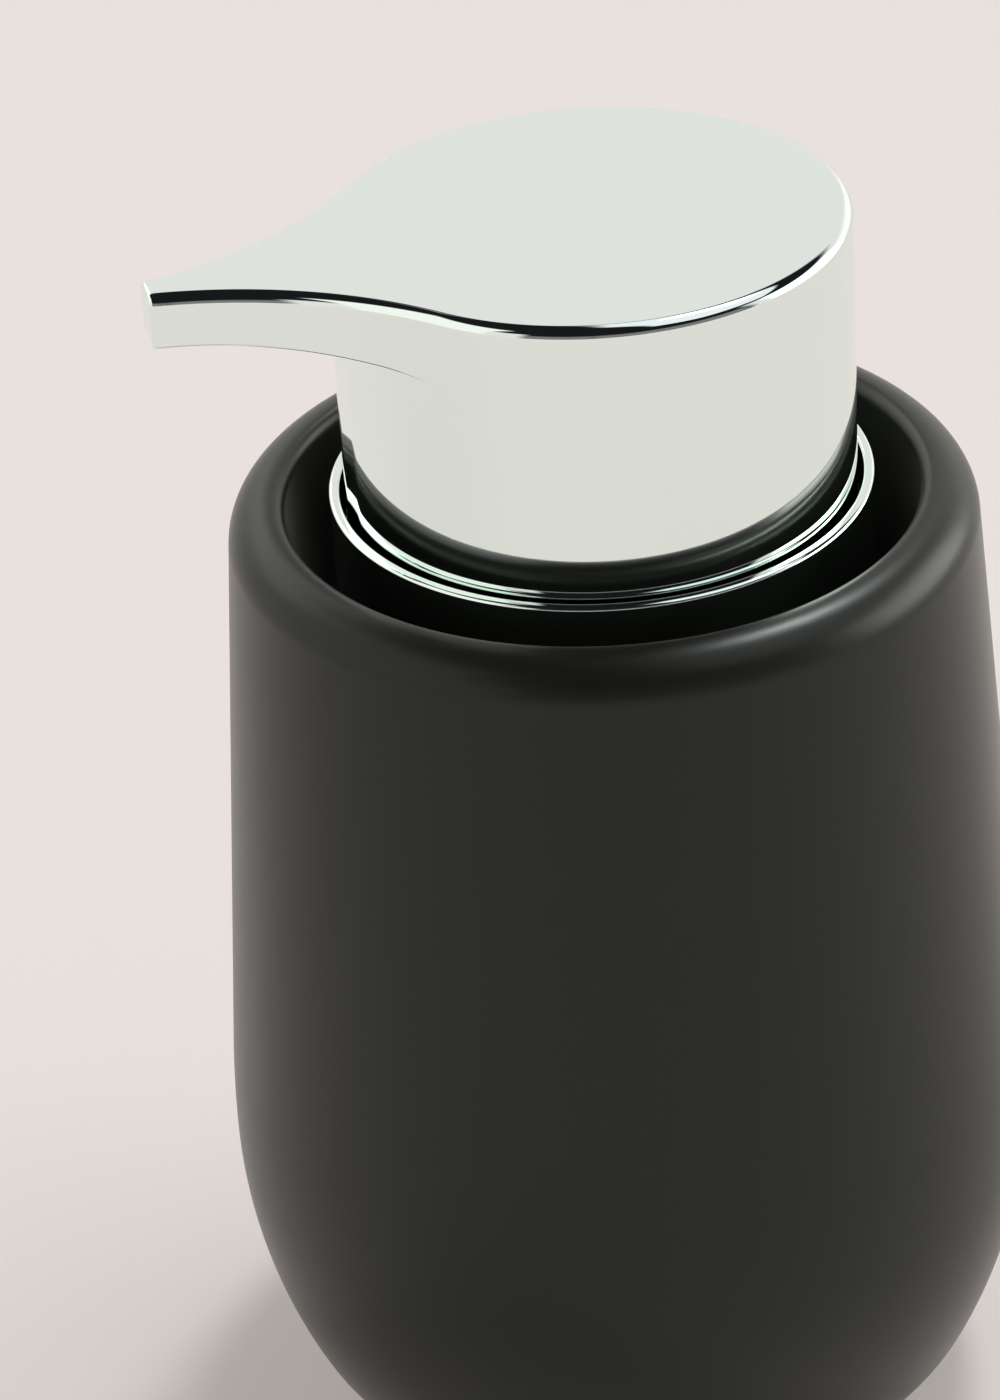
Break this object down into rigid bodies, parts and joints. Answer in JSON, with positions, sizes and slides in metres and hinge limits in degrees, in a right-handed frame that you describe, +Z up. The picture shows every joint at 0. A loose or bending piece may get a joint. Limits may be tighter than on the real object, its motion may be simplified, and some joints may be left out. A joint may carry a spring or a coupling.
{
  "type": "soap pump dispenser",
  "caption": "Round satin-black ceramic bottle with a deep recessed mouth, a chrome collar and a flat-topped chrome teardrop pump head that presses down and turns.",
  "frame": {"origin": "centre of the foot pad's underside, on the resting surface, on the axis of the bottle and pump", "axes": "+Z is up along the bottle and pump axis; the spout points along -X at rest; +Y completes a right-handed frame, so XZ is the spout's plane of symmetry"},
  "size_m": [0.0824, 0.0816, 0.13],
  "materials": {
    "soft_touch_ceramic": "fired ceramic with a satin, soft-touch black coating",
    "chrome_plating": "mirror-polished chrome plating",
    "white_polypropylene": "natural white moulded polypropylene, satin",
    "clear_polyethylene": "translucent extruded polyethylene",
    "grey_plastic": "dark grey moulded plastic, satin",
    "black_rubber": "soft black rubber",
    "spring_steel": "drawn stainless wire",
    "ball_steel": "ground stainless steel"
  },
  "bodies": {
    "bottle": {"ceramic_bottle": "soft_touch_ceramic", "foot_pad": "black_rubber", "insert_seal": "black_rubber", "neck_insert": "white_polypropylene"},
    "pump": {"pump_housing": "white_polypropylene", "stem_guide": "white_polypropylene", "valve_cage": "white_polypropylene", "dip_tube": "clear_polyethylene", "return_spring": "spring_steel", "neck_gasket": "black_rubber"},
    "collar": {"screw_closure": "white_polypropylene", "chrome_collar": "chrome_plating"},
    "plunger": {"piston": "clear_polyethylene"},
    "head": {"stem": "white_polypropylene", "piston_retainer": "white_polypropylene", "head_core": "white_polypropylene", "spout_insert": "grey_plastic", "outlet_nozzle": "white_polypropylene", "head_shell": "chrome_plating"},
    "inlet_valve": {"inlet_ball": "ball_steel"},
    "outlet_valve": {"outlet_ball": "ball_steel"}
  },
  "joints": [
    {"name": "pump_lift", "type": "slide", "parent": "bottle", "child": "pump", "axis": [0, 0, 1], "range_m": [0, 0.00529]},
    {"name": "collar_turn", "type": "hinge", "parent": "pump", "child": "collar", "pos_m": [0, 0, 0.0998], "axis": [0, 0, 1], "range_deg": [0, 450]},
    {"name": "press", "type": "slide", "parent": "pump", "child": "plunger", "axis": [0, 0, -1], "range_m": [0, 0.01], "stiffness_N_per_m": 500, "springref_m": -0.01, "deforming": ["return_spring"]},
    {"name": "head_swivel", "type": "hinge", "parent": "plunger", "child": "head", "pos_m": [0, 0, 0.115], "axis": [0, 0, 1], "continuous": true},
    {"name": "inlet_check", "type": "slide", "parent": "pump", "child": "inlet_valve", "axis": [0, 0, 1], "range_m": [0, 0.0014]},
    {"name": "outlet_check", "type": "slide", "parent": "head", "child": "outlet_valve", "axis": [0, 0, 1], "range_m": [0, 0.0015]}
  ],
  "couplings": [
    {"joint": "pump_lift", "follows": "collar_turn", "m_per_rad": 0.00067376}
  ]
}
